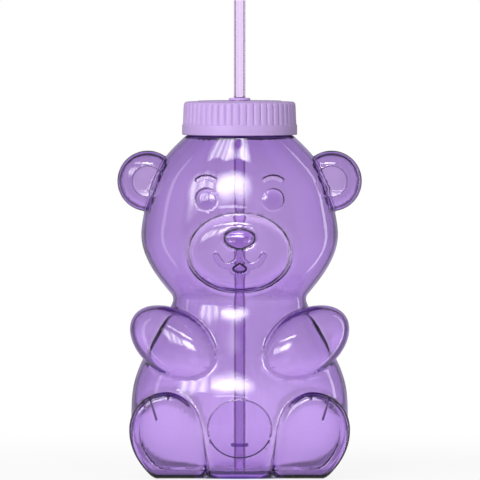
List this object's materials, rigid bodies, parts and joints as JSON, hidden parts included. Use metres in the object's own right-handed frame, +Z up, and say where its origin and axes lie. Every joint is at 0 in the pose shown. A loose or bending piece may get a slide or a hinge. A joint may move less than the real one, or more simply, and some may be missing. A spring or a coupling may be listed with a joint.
{
  "type": "bear-shaped water bottle",
  "caption": "Clear violet drinking bottle blown in the shape of a sitting bear, with a ribbed screw lid and a straight straw that slides in a soft collar.",
  "frame": {"origin": "on the table, under the middle of the bottle's box, on the axis of the neck, the lid and the straw", "axes": "+Z up along the straw, -Y the way the bear faces, +X the bear's left hand side"},
  "size_m": [0.1296, 0.096, 0.252],
  "materials": {
    "violet_clear_plastic": "clear violet blow-moulded plastic, glossy inside and out",
    "lavender_plastic": "opaque lavender moulded plastic with a soft satin gloss",
    "white_silicone": "milky white silicone rubber, matt",
    "pink_silicone": "pale pinkish silicone rubber, matt",
    "straw_plastic": "clear pale violet extruded plastic, glossy",
    "ring_plastic": "clear violet moulded plastic, glossy"
  },
  "bodies": {
    "bottle_body": {"bottle": "violet_clear_plastic"},
    "lid_seal": {"lid_gasket": "white_silicone"},
    "straw_collar": {"straw_grommet": "pink_silicone"},
    "screw_lid": {"lid": "lavender_plastic"},
    "drinking_straw": {"straw": "straw_plastic", "straw_stop_ring": "ring_plastic"}
  },
  "joints": [
    {"name": "lid_lift_off", "type": "slide", "parent": "bottle_body", "child": "lid_seal", "axis": [0, 0, 1], "range_m": [0, 0.2]},
    {"name": "lid_rise", "type": "slide", "parent": "lid_seal", "child": "straw_collar", "axis": [0, 0, 1], "range_m": [0, 0.004]},
    {"name": "lid_turn", "type": "hinge", "parent": "straw_collar", "child": "screw_lid", "pos_m": [0, 0, 0.19], "axis": [0, 0, 1], "range_deg": [0, 360]},
    {"name": "straw_slide", "type": "slide", "parent": "straw_collar", "child": "drinking_straw", "axis": [0, 0, 1], "range_m": [0, 0.1775]}
  ],
  "couplings": [
    {"joint": "lid_rise", "follows": "lid_turn", "m_per_rad": 0.000636}
  ]
}
